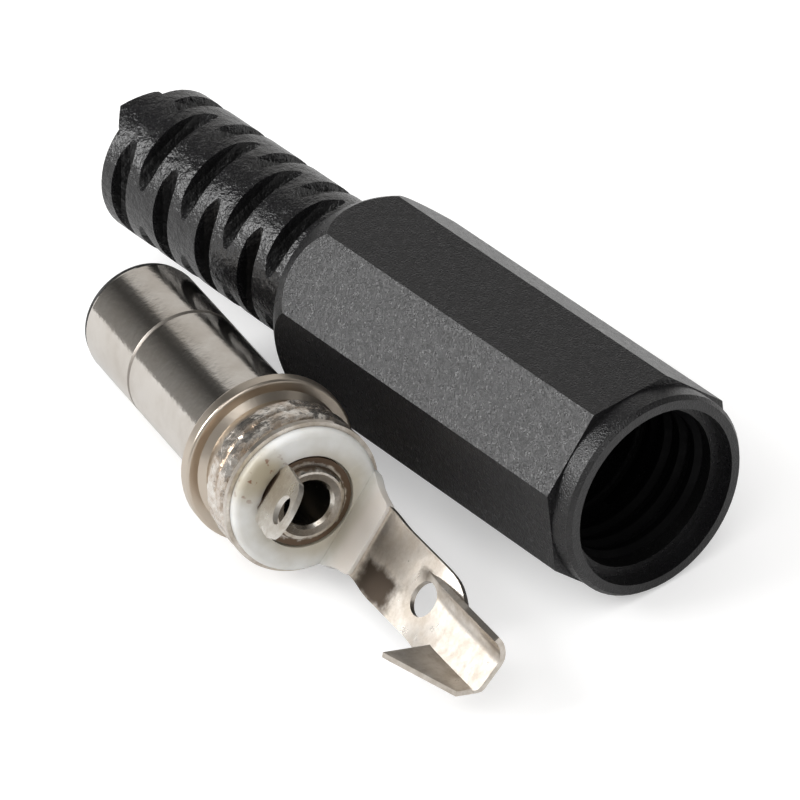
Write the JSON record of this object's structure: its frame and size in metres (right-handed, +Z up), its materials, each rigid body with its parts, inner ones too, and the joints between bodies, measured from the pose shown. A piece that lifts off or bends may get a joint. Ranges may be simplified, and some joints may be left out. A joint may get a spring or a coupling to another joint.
{
  "type": "dc_barrel_plug",
  "caption": "DC barrel plug for a cable, 5.5 mm by 2.1 mm, with solder lugs, a crimp trough and its unscrewed moulded cover with a slotted strain relief lying beside it",
  "frame": {"origin": "centre of the flat on which the cover lies, halfway along its eight flats, at the level of the table", "axes": "+X along the cover toward its open mouth, +Y from the plug body toward the cover, +Z up"},
  "size_m": [0.038, 0.0183, 0.0094],
  "materials": {
    "nickel": "nickel plated brass turning, polished",
    "lug_nickel": "nickel plated brass sheet, satin",
    "contact_nickel": "nickel plated brass, bright",
    "black_plastic": "black moulded thermoplastic, fine spark grain",
    "black_insulator": "black moulded bush",
    "white_insulator": "milky white moulded insulator"
  },
  "bodies": {
    "root": {"barrel_shell": "nickel", "front_insulator": "black_insulator", "centre_contact": "contact_nickel", "centre_lug": "contact_nickel", "rear_insulator": "white_insulator", "sleeve_lug": "lug_nickel", "cover": "black_plastic"}
  },
  "joints": []
}
